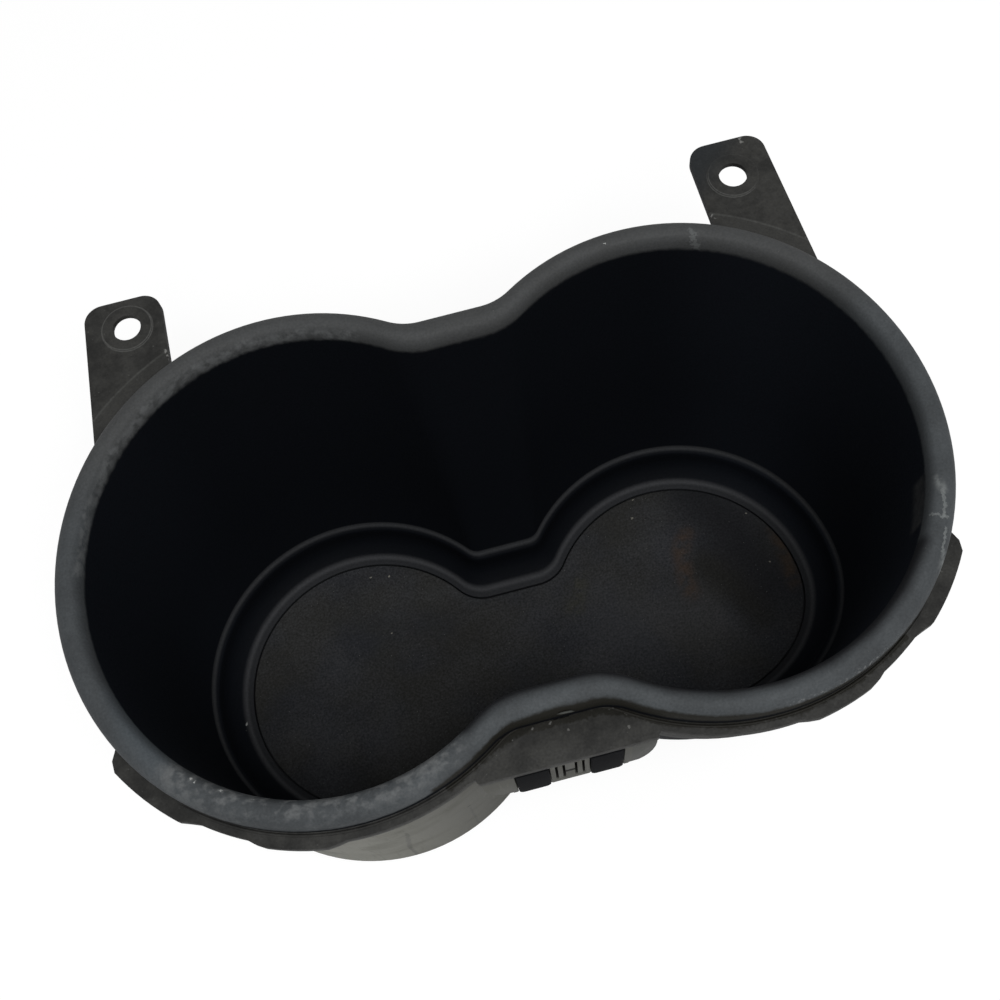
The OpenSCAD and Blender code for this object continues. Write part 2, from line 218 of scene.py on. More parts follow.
# %% [markdown]
# ## A loft in Geometry Nodes
# The liner, its foot, the mat and the housing's shell are all lofts: one outline per level, joined to the
# next. A grid has the right topology already, so the tree starts from a flat grid whose x says how far
# round a point is and whose y says which level it is on. The lengths of that level are sampled from a
# small profile mesh, and Set Position puts the point where the rule says. The seam is then merged.

# %% A tree with named inputs
def new_tree(name, inputs):
    """An empty node tree with one geometry output and the named inputs."""
    tree = bpy.data.node_groups.new(name, "GeometryNodeTree")
    tree.interface.new_socket(name="Geometry", in_out="OUTPUT", socket_type="NodeSocketGeometry")
    for label, kind in inputs.items():
        tree.interface.new_socket(name=label, in_out="INPUT", socket_type="NodeSocket" + kind)
    return tree, tree.nodes.new("NodeGroupInput").outputs


def add(tree, kind, settings=None, **inputs):
    """A node with its settings and inputs; an input's underscores stand for spaces."""
    node = tree.nodes.new(kind)
    for key, value in (settings or {}).items():
        setattr(node, key, value)
    for label, value in inputs.items():
        feed(tree, value, node.inputs[label.replace("_", " ")])
    return node


def axes(tree, vector):
    """The three parts of a vector, as fields."""
    parts = add(tree, "ShaderNodeSeparateXYZ", Vector=vector)
    return [Field(tree, parts.outputs[axis]) for axis in "XYZ"]


def finish_tree(tree, geometry, material):
    """Ends a tree in Realize Instances and Set Material."""
    real = add(tree, "GeometryNodeRealizeInstances", Geometry=geometry)
    painted = add(tree, "GeometryNodeSetMaterial", Geometry=real.outputs[0], Material=material)
    output = tree.nodes.new("NodeGroupOutput")
    tree.links.new(painted.outputs[0], output.inputs[0])


def run_tree(name, tree, values):
    """Runs a tree on an empty mesh and keeps the result as a plain mesh at the origin."""
    maker = bpy.data.objects.new(name + "_maker", bpy.data.meshes.new(name + "_maker"))
    bpy.context.scene.collection.objects.link(maker)
    modifier = maker.modifiers.new("make", "NODES")
    modifier.node_group = tree
    for item in tree.interface.items_tree:
        if item.in_out == "INPUT" and item.name in values:
            modifier[item.identifier] = values[item.name]
    depsgraph = bpy.context.evaluated_depsgraph_get()
    mesh = bpy.data.meshes.new_from_object(maker.evaluated_get(depsgraph), depsgraph=depsgraph)
    maker.modifiers.remove(modifier)
    bpy.data.objects.remove(maker)
    return new_object(name, mesh)


def new_object(name, mesh):
    """Links a mesh into the scene at the origin."""
    mesh.name = name
    piece = bpy.data.objects.new(name, mesh)
    bpy.context.scene.collection.objects.link(piece)
    return piece


print("tree helpers ready")

# %% The loft tree
LENGTHS = ("height", "width", "length", "waist", "blend", "shift", "flatten")
MERGE = 1e-6


def loft_tree():
    """A tree that lofts figure eights through the levels of a profile mesh."""
    tree, given = new_tree("figure_eight_loft", {
        "Profile": "Object", "Levels": "Int", "Points around": "Int", "Material": "Material"})
    steps = Field(tree, given["Levels"]) - 1.0
    grid = add(tree, "GeometryNodeMeshGrid", Size_X=4.0, Size_Y=steps,
               Vertices_X=Field(tree, given["Points around"]) + 1.0, Vertices_Y=given["Levels"])
    place = axes(tree, add(tree, "GeometryNodeInputPosition").outputs[0])
    around = place[0] + 2.0
    row = call("ROUND", place[1] + steps / 2.0)
    profile = add(tree, "GeometryNodeObjectInfo", Object=given["Profile"])
    lengths = {}
    for label in LENGTHS:
        stored = add(tree, "GeometryNodeInputNamedAttribute", {"data_type": "FLOAT"}, Name=label)
        sample = add(tree, "GeometryNodeSampleIndex", {"data_type": "FLOAT", "domain": "POINT"},
                     Geometry=profile.outputs["Geometry"], Value=stored.outputs[0], Index=row)
        lengths[label] = Field(tree, sample.outputs[0])
    height = lengths.pop("height")
    x, y = figure_eight(around, **lengths)
    point = add(tree, "ShaderNodeCombineXYZ", X=x * MM, Y=y * MM, Z=height * MM)
    moved = add(tree, "GeometryNodeSetPosition", Geometry=grid.outputs["Mesh"], Position=point.outputs[0])
    merged = add(tree, "GeometryNodeMergeByDistance", Geometry=moved.outputs[0], Distance=MERGE)
    smooth = add(tree, "GeometryNodeSetShadeSmooth", Geometry=merged.outputs[0])
    finish_tree(tree, smooth.outputs[0], given["Material"])
    return tree


LOFT = loft_tree()
print("loft tree:", len(LOFT.nodes), "nodes")

# %% [markdown]
# A loft needs closed ends to be a solid, and soft stretches need more levels than the few that describe
# them. The levels are therefore joined by a centripetal Catmull-Rom curve, which goes through each level
# and doesn't overshoot at a corner, and each open ring is closed by a flat face.

# %% Smooth levels, profile meshes and closed ends
AROUND = 240
SHARP = math.radians(38)


def smoothed(levels, steps):
    """More levels, on a smooth curve through the given ones."""
    ends = [2 * levels[0] - levels[1], *levels, 2 * levels[-1] - levels[-2]]
    out = []
    for a, b, c, d in zip(ends, ends[1:], ends[2:], ends[3:]):
        gaps = [np.linalg.norm(q - p) ** 0.5 for p, q in ((a, b), (b, c), (c, d))]
        t0, t1, t2, t3 = np.cumsum([0.0, *gaps])
        for t in np.linspace(t1, t2, steps, endpoint=False):
            ab = between(a, b, (t - t0) / (t1 - t0))
            bc = between(b, c, (t - t1) / (t2 - t1))
            cd = between(c, d, (t - t2) / (t3 - t2))
            abc = between(ab, bc, (t - t0) / (t2 - t0))
            bcd = between(bc, cd, (t - t1) / (t3 - t1))
            out.append(between(abc, bcd, (t - t1) / (t2 - t1)))
    return [*out, levels[-1]]


def profile_mesh(levels):
    """A mesh with one point per level, which carries the level's lengths as attributes."""
    mesh = bpy.data.meshes.new("profile")
    mesh.from_pydata([(0.0, 0.0, row[0] * MM) for row in levels], [], [])
    for i, label in enumerate(LENGTHS):
        stored = mesh.attributes.new(label, "FLOAT", "POINT")
        stored.data.foreach_set("value", np.array([row[i] for row in levels], np.float32))
    return mesh


def close_ends(piece):
    """Closes each open ring by a flat face and turns all faces outwards."""
    bm = bmesh.new()
    bm.from_mesh(piece.data)
    bmesh.ops.holes_fill(bm, edges=[e for e in bm.edges if e.is_boundary], sides=0)
    bmesh.ops.recalc_face_normals(bm, faces=bm.faces)
    bm.to_mesh(piece.data)
    bm.free()


def loft(name, levels, material, around=AROUND):
    """A closed solid through the levels."""
    profile = bpy.data.objects.new("profile", profile_mesh(levels))
    piece = run_tree(name, LOFT, {
        "Profile": profile, "Levels": len(levels), "Points around": around, "Material": material})
    bpy.data.objects.remove(profile)
    close_ends(piece)
    return piece


def smooth_by_angle(piece, angle=SHARP):
    """Smooth shading, broken where two faces meet at more than the angle."""
    piece.data.polygons.foreach_set("use_smooth", [True] * len(piece.data.polygons))
    piece.data.set_sharp_from_angle(angle=angle)


print("levels helpers ready")

# %% [markdown]
# ## Materials
# All finishes are procedural and read Object coordinates, so they stay put when the piece moves and
# need no image. Each one has a base colour that drifts slowly over the piece, and most have a fine grain
# that feeds colour, roughness and bump, and marks where the real thing is rubbed, nicked or stained.
# Other marks are painted light and shade: highlights, a sheen, a glint and shade in grooves and recesses.
# A mark is a distance to a few points or lines, and noise breaks most of them up.

# %% A finish with a few pattern makers
class Finish:
    """A material being built: its tree, its shader and the makers of patterns."""

    def __init__(self, name):
        self.material = bpy.data.materials.new(name)
        self.material.use_nodes = True
        self.tree = self.material.node_tree
        self.shader = self.tree.nodes["Principled BSDF"]
        self.place = add(self.tree, "ShaderNodeTexCoord").outputs["Object"]
        self.x, self.y, self.z = (part / MM for part in axes(self.tree, self.place))
        self.flat = self.vector("MULTIPLY", self.place, (1.0, 1.0, 0.0)).outputs[0]

    def vector(self, operation, *values, **inputs):
        """A Vector Math node on sockets or on plain rows of three numbers."""
        node = add(self.tree, "ShaderNodeVectorMath", {"operation": operation}, **inputs)
        for socket, value in zip(node.inputs, values):
            feed(self.tree, value, socket)
        return node

    def noise(self, size, detail=2.0, stretch=(1.0, 1.0, 1.0), seed=0.0):
        """Soft noise from 0 to 1 with features of that size in millimetres."""
        scaled = add(self.tree, "ShaderNodeMapping", Vector=self.place)
        scaled.inputs["Scale"].default_value = [1.0 / (size * MM * s) for s in stretch]
        scaled.inputs["Location"].default_value = (seed, seed * 0.7, -seed)
        node = add(self.tree, "ShaderNodeTexNoise", Vector=scaled.outputs[0], Scale=1.0, Detail=detail)
        return Field(self.tree, node.outputs[0])

    def ramp(self, value, low, high):
        """0 below low, 1 above high and smooth between; high may be the lower one."""
        node = add(self.tree, "ShaderNodeMapRange", {"interpolation_type": "SMOOTHSTEP"},
                   Value=value, From_Min=low, From_Max=high)
        return Field(self.tree, node.outputs[0])

    def nearest(self, nodes):
        """The least of the distances that the nodes give, in millimetres."""
        least, *others = [Field(self.tree, node.outputs["Value"]) for node in nodes]
        for distance in others:
            least = call("MINIMUM", least, distance)
        return least / MM

    def spots(self, points):
        """Distance in millimetres to the nearest of the points."""
        return self.nearest([self.vector("DISTANCE", self.place, Vector(p) * MM) for p in points])

    def line(self, points):
        """Distance in millimetres, seen from above, to a line through the points."""
        flat_points = [Vector((*point, 0.0)) * MM for point in points]
        found = []
        for start, end in zip(flat_points, flat_points[1:]):
            step = end - start
            place = self.vector("SUBTRACT", self.flat, start).outputs[0]
            dot = self.vector("DOT_PRODUCT", place, step / step.length_squared)
            along = clamped(Field(self.tree, dot.outputs["Value"]))
            foot = self.vector("SCALE", step, Scale=along).outputs[0]
            found.append(self.vector("DISTANCE", place, foot))
        return self.nearest(found)

    def along(self, points, radius):
        """1 on a line through the points, fading to 0 at the radius."""
        return self.ramp(self.line(points), radius, 0.0)

    def ragged(self, distance, radius, size=0.6, tear=4.0):
        """1 within the radius and 0 outside, with an edge that noise of that size tears up."""
        torn = distance + (self.noise(size, 2.0, seed=radius) - 0.5) * radius * tear
        return self.ramp(torn, radius, radius * 0.5)

    def shade(self, colour, factor):
        """The colour made lighter or darker by the factor."""
        return self.vector("SCALE", colour, Scale=factor).outputs[0]

    def mix(self, factor, first, second):
        """A colour between two, by the factor."""
        node = add(self.tree, "ShaderNodeMix", {"data_type": "RGBA"}, Factor=factor)
        for socket, colour in ((node.inputs[6], first), (node.inputs[7], second)):
            feed(self.tree, (*colour, 1.0) if isinstance(colour, tuple) else colour, socket)
        return node.outputs[2]

    def layered(self, colour, *layers):
        """The colour with layers over it, each a share and a colour."""
        for share, tint in layers:
            colour = self.mix(share, colour, tint)
        return colour

    def dress(self, colour, roughness, height, depth, specular):
        """Feeds the shader: colour, roughness, a height in shares of the depth in millimetres."""
        feed(self.tree, colour, self.shader.inputs["Base Color"])
        feed(self.tree, roughness, self.shader.inputs["Roughness"])
        feed(self.tree, specular, self.shader.inputs["Specular IOR Level"])
        bump = add(self.tree, "ShaderNodeBump", Height=height, Distance=depth * MM, Strength=1.0)
        feed(self.tree, bump.outputs[0], self.shader.inputs["Normal"])
        return self.material


print("finish helpers ready")

# %% [markdown]
# The liner is one grained black moulding. Its rim has been rubbed grey by hands and cups, and at the front
# left it is paler still, partly rubbed and partly a painted sheen. It has small pale nicks along its inner
# edge, and painted shade darkens the inner roll of the rim at the front. Painted shade also lies at its
# foot along the front, in the groove beside the flange. The walls keep the mould's black, with a faint
# painted glint at the right, and painted light makes them lighter towards the right and, less, the left.
# The height tells the shader where it is: grey above the roll of the rim, black down the wall, and with
# painted highlights on the edge of the ledge and on the fillet.

# %% The liner's plastic
RIM_GREY = (0.060, 0.066, 0.070)
RIM_DARK = (0.044, 0.048, 0.051)
RIM_BACK = (0.050, 0.0505, 0.0500)
RIM_SMEAR = (0.060, 0.070, 0.078)
# Painted shade for the inner roll of the rim at the front.
RIM_INNER_SHADE = (0.011, 0.0115, 0.0130)
# Painted shade for the groove between the rim's foot and the flange, and for a spot beside the latch.
GROOVE_SHADE = (0.0085, 0.0080, 0.0060)
# Pale for rubbed wear and nicks, and for a painted sheen on the front left of the rim.
RUBBED_AND_SHEEN = (0.115, 0.12, 0.122)
NICKED = (0.42, 0.43, 0.42)
SCRATCHED = (0.15, 0.16, 0.16)
WALL_BLACK = (0.0030, 0.0036, 0.0049)
WALL_GLINT = (0.065, 0.066, 0.066)
# Painted highlights for the edge of the ledge and for the fillet, brighter at its ridge.
LEDGE_HIGHLIGHT = (0.026, 0.027, 0.029)
FILLET_RIDGE_HIGHLIGHT = (0.040, 0.041, 0.044)
FILLET_LOW_HIGHLIGHT = (0.018, 0.019, 0.021)
RUB_AND_SHEEN_LINE = [(-67.0, -28.5), (-60.5, -33.6), (-52.0, -37.6), (-42.0, -39.8), (-30.1, -38.9),
            (-21.5, -36.3)]
SMEAR_LINE = [(-76.0, -10.3), (-74.3, -18.4), (-70.5, -24.9)]
BACK_SMUDGE = [(51.9, 54.1), (52.5, 51.4)]
RIM_NICKS = [(34.4, 56.1, 79.0), (-77.7, -9.9, 79.0),
             (-65.5, -29.9, 78.3), (-64.8, -30.8, 78.3), (-60.5, -33.2, 78.3), (-57.2, -34.2, 78.3),
             (-55.0, -36.0, 78.5)]
RIGHT_PATCHES = [[(79.2, -11.0), (79.1, -13.2)], [(75.2, -25.2), (73.6, -28.0)]]
RIGHT_SCRATCHES = [[(79.0, -13.2), (78.4, -16.5), (77.1, -18.4)], [(75.6, -17.3), (78.2, -18.6)],
                   [(77.0, -20.5), (74.8, -24.5)]]
FOOT_NICKS = [(38.9, -44.2), (44.3, -43.9), (50.9, -42.6), (58.7, -39.5)]
GLINT_LINE = [(77.9, -8.3), (76.3, -12.6), (74.4, -16.5)]


def beside_mouth(out, start, end, count, waist_extra=0.0):
    """A line that stands out from the mouth by the given millimetres, between two places around."""
    plan = grown(MOUTH, out, waist_extra)
    return [figure_eight(a, *plan) for a in np.linspace(start, end, count)]


GROOVE = beside_mouth(RIM_WIDTH + 0.4, 2.72, 3.62, 11, RIM_WAIST_EXTRA)
INNER_WEAR = beside_mouth(0.6, 1.25, 1.95, 8)
INNER_EDGE = beside_mouth(0.4, 2.78, 3.75, 13)
FILLET_SPECKS = [(68.2, -6.9, 5.0), (-52.5, 24.5, 5.0), (-53.5, 24.2, 5.0), (-66.9, 3.0, 5.0),
                 (-70.3, -1.9, 5.0), (-70.8, -3.8, 5.0)]


def liner_plastic():
    """Grained black plastic with a worn grey rim."""
    f = Finish("worn_liner")
    grain = f.noise(0.45, 2.0)
    blotch = f.noise(9.0, 4.0)
    fine = f.noise(1.6, 4.0, seed=3.0)
    below_rim, over_ledge, over_mat = RIM_TOP - f.z, f.z - LEDGE_TOP, f.z - MAT_TOP
    on_rim = f.ramp(below_rim - (fine - 0.5) * 0.8, 4.3, 2.9)
    # The pale patches at the front left of the rim are rubbed wear with a painted sheen over them.
    rubbed = f.along(RUB_AND_SHEEN_LINE, 6.0) * f.ramp(fine + (blotch - 0.5) * 0.6, 0.42, 0.7)
    broken = f.ramp(fine, 0.3, 0.6)
    nicked = f.ramp(f.noise(0.6, 2.0, seed=7.0), 0.55, 0.65) * f.ramp(below_rim, 0.6, 1.4)
    # The painted shade at the rim's foot reaches highest at the waist, and falls off twice as fast to the
    # left.
    from_waist = call("MAXIMUM", -f.x, f.x * 0.5)
    foot = f.ramp(below_rim - (fine - 0.5) * 0.9 - from_waist * 0.05, 0.4, 1.2)
    rim = f.layered(
        RIM_DARK, (f.ramp(blotch, 0.3, 0.75), RIM_GREY), (f.along(SMEAR_LINE, 4.5) * 0.8, RIM_SMEAR),
        (f.ramp(f.y, 20.0, 42.0) * 0.7, RIM_BACK), (rubbed, RUBBED_AND_SHEEN),
        *[(f.along(patch, 1.3) * broken * 0.9, SCRATCHED) for patch in RIGHT_PATCHES],
        *[(f.ragged(f.line(scratch), 0.35, 0.5) * 0.7, SCRATCHED) for scratch in RIGHT_SCRATCHES],
        (f.ragged(f.line(BACK_SMUDGE), 0.7) * 0.35, SCRATCHED), (f.along(FOOT_NICKS, 1.6) * nicked, RUBBED_AND_SHEEN),
        (f.along(INNER_WEAR, 0.8) * f.ramp(fine, 0.35, 0.6) * 0.6, RUBBED_AND_SHEEN),
        # Painted shade on the inner roll of the rim at the front, and in the groove at the rim's foot.
        (f.along(INNER_EDGE, 2.4), RIM_INNER_SHADE), (foot * f.ramp(f.line(GROOVE), 3.5, 2.5), GROOVE_SHADE))
    # Painted highlights: a pale line along the ledge's edge, and a lit band on the fillet that fades from
    # its ridge to the mat.
    ledge_highlight = f.ramp(over_ledge, 0.9, 0.25) * f.ramp(over_ledge, -0.45, -0.05)
    fillet_highlight, fillet_highlight_fade = f.ramp(over_mat, 1.5, 0.65), f.ramp(over_mat, 0.75, 0.3)
    glint = f.along(GLINT_LINE, 1.2) * f.ramp(below_rim, 13.0, 8.0) * fine
    # Painted light: the walls are made lighter towards the right and, less, towards the left.
    sides = f.ramp(f.x, 40.0, 70.0) * 0.9 + f.ramp(f.x, -55.0, -78.0) * 0.5 + 1.03
    body = f.layered(f.shade(WALL_BLACK, sides), (glint, WALL_GLINT), (ledge_highlight, LEDGE_HIGHLIGHT),
                     (fillet_highlight, f.mix(fillet_highlight_fade, FILLET_RIDGE_HIGHLIGHT, FILLET_LOW_HIGHLIGHT)))
    colour = f.layered(f.shade(f.mix(on_rim, body, rim), 0.7 + grain * 0.6),
                       (f.ragged(f.spots(RIM_NICKS), 0.32, 0.35) * 0.8, NICKED),
                       (f.ragged(f.spots(FILLET_SPECKS), 0.35, 0.4) * 0.6, NICKED))
    roughness = 0.62 - (grain - 0.5) * 0.2 - rubbed * 0.12
    return f.dress(colour, roughness, grain * 0.7 + fine * 0.3, 0.04, 0.04 + on_rim * 0.08)


LINER_PLASTIC = liner_plastic()
print("liner plastic:", len(LINER_PLASTIC.node_tree.nodes), "nodes")

# %% [markdown]
# The mat is matt rubber with a fine speckle. Dust has settled on it, more on the right, and drinks have
# left a rust-brown streak, a brown arc along its right edge and an olive smudge.

# %% The mat's rubber
MAT_BLACK = (0.0200, 0.0214, 0.0245)
MAT_WARM = (0.0228, 0.0228, 0.0216)
MAT_DUST = (0.041, 0.042, 0.045)
MAT_SPECK = (0.22, 0.21, 0.18)
STAIN_RUST = (0.044, 0.030, 0.022)
STAIN_BROWN = (0.034, 0.024, 0.017)
STAIN_YELLOW = (0.034, 0.033, 0.024)
STAIN_OLIVE = (0.0125, 0.0122, 0.0100)
STAIN_DARK = (0.0115, 0.0120, 0.0135)
RUST_STREAK = [(44.3, 16.9), (41.6, 12.6), (41.2, 6.7), (41.2, 2.3)]
BROWN_ARC = [(65.9, 11.8), (66.4, 4.9), (65.8, -2.0)]
OLIVE_SMUDGE = [(46.5, 7.3), (51.1, 1.0), (55.5, -7.9)]
DARK_AREA = [(50.0, 27.0), (55.0, 17.0), (57.0, 8.0), (59.0, 0.0)]
YELLOW_LINE = [(15.9, 11.7), (12.9, 5.6)]
DUSTY_BAND = [(22.0, -1.0), (43.4, -5.0)]
FINE_SCRATCH = [(27.9, 0.7), (36.0, -1.8), (43.4, -2.7)]
MAT_SPECKS = [(32.9, 24.6), (34.5, 29.4), (60.4, 18.2), (63.8, 15.5), (62.0, 4.6), (-31.9, 11.2),
              (-34.1, 26.8), (-29.5, 25.8)]


def mat_rubber():
    """Speckled matt rubber, dusty and stained."""
    f = Finish("dusty_mat")
    speckle = f.noise(0.5, 2.0)
    cloud = f.noise(14.0, 5.0, seed=2.0)
    fine = f.noise(2.2, 4.0, seed=4.0)
    dust = f.ramp(cloud + (speckle - 0.5) * 0.4, 0.35, 0.8)
    broken = f.ramp(fine, 0.25, 0.65)
    colour = f.layered(
        MAT_BLACK, (f.ramp(f.noise(20.0, 4.0, seed=14.0), 0.35, 0.65), MAT_WARM), (dust * 0.5, MAT_DUST),
        (f.along(DUSTY_BAND, 15.0) * 0.5, MAT_DUST), (f.along(DARK_AREA, 14.0) * 0.95, STAIN_DARK),
        (f.along(OLIVE_SMUDGE, 7.0) * 0.6, STAIN_OLIVE),
        (f.along(YELLOW_LINE, 4.0) * broken * 0.6, STAIN_YELLOW),
        (f.along(BROWN_ARC, 3.2) * broken * 0.8, STAIN_BROWN),
        (f.along(RUST_STREAK, 3.6) * broken * 0.75, STAIN_RUST),
        (f.ragged(f.line(FINE_SCRATCH), 0.3, 0.8) * 0.5, MAT_DUST))
    specks = f.spots([(x, y, MAT_TOP) for x, y in MAT_SPECKS])
    colour = f.mix(f.ragged(specks, 0.26, 0.4) * 0.7, f.shade(colour, 0.4 + speckle * 1.2), MAT_SPECK)
    roughness = 0.8 - (speckle - 0.5) * 0.25
    return f.dress(colour, roughness, speckle, 0.06, 0.08)


MAT_RUBBER = mat_rubber()
print("mat rubber:", len(MAT_RUBBER.node_tree.nodes), "nodes")

# %% [markdown]
# The carrier frame is an olive-black plastic, duller and warmer than the liner. A highlight is painted
# along the edge of each screw ring, strongest towards the front left, and shade is painted in the groove
# beside the rim's foot and in a spot beside the latch. The housing is a bare pale grey moulding with light
# scratches. Painted shade darkens it towards the right and on the right wing of its bracket, fills the
# slots and bar of its clip and a small pit, and at the front right, under the flange, makes it as dark as
# the flange above it. The stops are black rubber, made darker by painted shade from the flange above.

# %% The carrier's, the housing's and the stops' finishes
CARRIER_DARK = (0.0150, 0.0150, 0.0143)
CARRIER_PALE = (0.0320, 0.0318, 0.0298)
CARRIER_COOL = (0.0165, 0.0185, 0.0200)
CARRIER_BAND = (0.0350, 0.0350, 0.0330)
# Pale specks and lines, and the painted highlight on the edge of the screw rings.
CARRIER_LINE_AND_HIGHLIGHT = (0.085, 0.086, 0.082)
CARRIER_SPECK = (0.22, 0.22, 0.21)
HOUSING_GREY = (0.178, 0.178, 0.155)
# Painted shade for the housing towards the right, where it is in shadow.
HOUSING_PAINTED_SHADE = (0.066, 0.066, 0.058)
HOUSING_DIRT = (0.10, 0.10, 0.085)
# Grey for dark scratches, and painted shade on the right wing of the bracket.
SCRATCH_AND_WING_SHADE = (0.055, 0.056, 0.052)
# Painted shade for the clip's slots and bar, and for the pit.
SLOT_SHADE = (0.008, 0.008, 0.007)
CURL_GREY = (0.050, 0.052, 0.048)
# The stops' black rubber and its bloom, darkened by painted shade from the flange above.
SHADED_STOP_BLACK = (0.0018, 0.0020, 0.0026)
SHADED_STOP_BLOOM = (0.0038, 0.0040, 0.0048)
SCREW = (66.5, 69.0)
RING = 5.4
TAB_BAND_OUT = 11.4
TAB_NICKS = [(70.9, 77.8, 72.2), (71.0, 77.0, 72.2), (70.7, 54.9, 73.0), (59.3, 60.6, 72.4),
             (59.4, 59.4, 72.4), (-59.3, 61.3, 72.2), (-59.0, 60.0, 72.4), (-58.8, 58.8, 72.6)]
PLATE_SPECKS = [(-5.0, -35.6, 73.0), (-1.6, -35.4, 73.0), (-8.9, -36.6, 73.0), (12.0, -37.3, 73.0),
                (1.3, -37.3, 73.0), (11.9, -39.6, 73.0)]
# A spot of painted shade beside the latch.
LATCH_SHADE_SPOT = (1.7, -35.5, 73.0)
# The clip in the bracket, in millimetres: its face, half its width and height, its bar and post.
BRACKET_FACE = 42.5
CLIP_HALF, CLIP_TALL, CLIP_BAR, POST_INSIDE = 3.0, 6.4, 62.9, 1.4
BRACKET_INSIDE, WING_FRONT = 37.0, 36.0
HOUSING_PIT = (-21.4, -39.2, 34.1)
HOUSING_SCRATCHES = [[(-34.3, -42.7), (-37.4, -41.3)], [(-21.5, -38.8), (-21.9, -38.0)]]


def carrier_plastic():
    """Olive-black plastic with a dull grain, a painted highlight on the screw rings and painted shade in
    the groove.
    """
    f = Finish("dull_carrier")
    grain = f.noise(0.5, 2.0)
    fine = f.noise(1.8, 4.0, seed=2.0)
    blotch = f.noise(7.0, 4.0, seed=1.0)
    across, back = abs(f.x) - SCREW[0], f.y - SCREW[1]
    cool = f.ramp(back - (f.x - SCREW[0]), 1.0, 12.0) * (f.x > 0.0) * (f.y > SCREW[1] - 14.0)
    wide, long = MOUTH[0] + TAB_BAND_OUT, MOUTH[1] + TAB_BAND_OUT
    from_cup_x, from_cup_y = (abs(f.x) - HALF_SPACING) / wide, (f.y - MOUTH[4]) / long
    out = call("SQRT", from_cup_x * from_cup_x + from_cup_y * from_cup_y)
    on_tab = f.y > SCREW[1] - 25.0
    band_edge = f.ramp(abs(out - 1.0), 0.007, 0.001) * on_tab * fine
    # Painted highlight: a pale line on the edge of each screw ring, strongest on its front-left side.
    ring = f.ramp(abs(call("SQRT", across * across + back * back) - RING), 0.32, 0.08)
    highlight_side = f.ramp((f.x - SCREW[0]) * -0.6 - back * 0.8, -1.0, 4.5)
    colour = f.layered(
        CARRIER_DARK, (f.ramp(blotch * 0.6 + fine * 0.4, 0.35, 0.65), CARRIER_PALE), (cool, CARRIER_COOL),
        (f.ramp(out, 1.006, 0.994) * on_tab * 0.5, CARRIER_BAND), (band_edge * 0.6, CARRIER_LINE_AND_HIGHLIGHT),
        (ring * (0.1 + highlight_side * 0.6), CARRIER_LINE_AND_HIGHLIGHT),
        # Painted shade in the groove beside the rim's foot.
        (f.ragged(f.line(GROOVE), 1.0, 0.8, 1.6) * 0.9, GROOVE_SHADE))
    colour = f.layered(
        f.shade(colour, 0.6 + grain * 0.8),
        (f.ramp(f.noise(0.9, 1.0, seed=6.0), 0.74, 0.80) * 0.5, CARRIER_LINE_AND_HIGHLIGHT),
        # A spot of painted shade beside the latch.
        (f.ragged(f.spots([LATCH_SHADE_SPOT]), 0.9, 0.7), GROOVE_SHADE),
        (f.ragged(f.spots(TAB_NICKS), 0.42, 0.6) * 0.7, CARRIER_SPECK),
        (f.ragged(f.spots(PLATE_SPECKS), 0.26, 0.5) * 0.35, CARRIER_SPECK))
    return f.dress(colour, 0.62 - (grain - 0.5) * 0.2, grain, 0.04, 0.12)


def housing_plastic():
    """Bare pale grey moulding, scratched and a little dirty, with painted shade towards the right and in
    its recesses.
    """
    f = Finish("bare_housing")
    grain = f.noise(0.5, 3.0)
    scratch = f.ramp(f.noise(0.8, 2.0, stretch=(1.0, 1.0, 14.0), seed=6.0), 0.58, 0.68)
    dirt = f.ramp(f.noise(11.0, 5.0, seed=8.0), 0.45, 0.8)
    # The clip's slots and bar are painted with shade, and what stands above the flange is the curl above
    # the latch.
    in_front = f.y < -WING_FRONT
    in_clip = (abs(f.x) < CLIP_HALF) * (abs(f.z - CLIP_BAR) < CLIP_TALL)
    in_slot = in_clip * (f.y > 0.3 - BRACKET_FACE) * (f.y < -BRACKET_INSIDE)
    in_bar = (abs(f.x) < POST_INSIDE) * (abs(f.z - CLIP_BAR) < 1.0) * in_front
    # Painted shade darkens the housing from the left towards the right.
    colour = f.layered(
        HOUSING_GREY, (f.ramp(f.x, -50.0, -12.0), HOUSING_PAINTED_SHADE), (dirt * 0.5, HOUSING_DIRT),
        # The pit is painted shade.
        (scratch * 0.35, HOUSING_DIRT), (f.ramp(f.spots([HOUSING_PIT]), 0.8, 0.0), SLOT_SHADE),
        *[(f.ragged(f.line(streak), 0.3, 0.9, 2.0) * 0.5, SCRATCH_AND_WING_SHADE) for streak in HOUSING_SCRATCHES],
        # Painted shade on the right wing of the bracket.
        (f.ramp(f.x, 11.6, 12.0) * in_front, SCRATCH_AND_WING_SHADE),
        # Painted shade under the flange at the front right, as dark as the flange.
        (f.ramp(f.x, 17.0, 18.0) * f.ramp(f.y, 0.0, -20.0), CARRIER_DARK),
        # Painted shade in the clip's slots and bar.
        (call("MAXIMUM", in_slot, in_bar), SLOT_SHADE), (f.z > FLANGE_TOP + 2.0, CURL_GREY))
    colour = f.shade(colour, 0.85 + grain * 0.3)
    return f.dress(colour, 0.6 + dirt * 0.2, grain * 0.6 - scratch * 0.4, 0.05, 0.15)


def stop_rubber():
    """Plain black rubber with a dusty bloom, darkened by painted shade."""
    f = Finish("plain_stop")
    grain = f.noise(0.3, 3.0)
    bloom = f.noise(3.0, 3.0, seed=9.0)
    colour = f.mix(bloom, SHADED_STOP_BLACK, SHADED_STOP_BLOOM)
    return f.dress(colour, 0.7 - (grain - 0.5) * 0.2, grain, 0.04, 0.03)


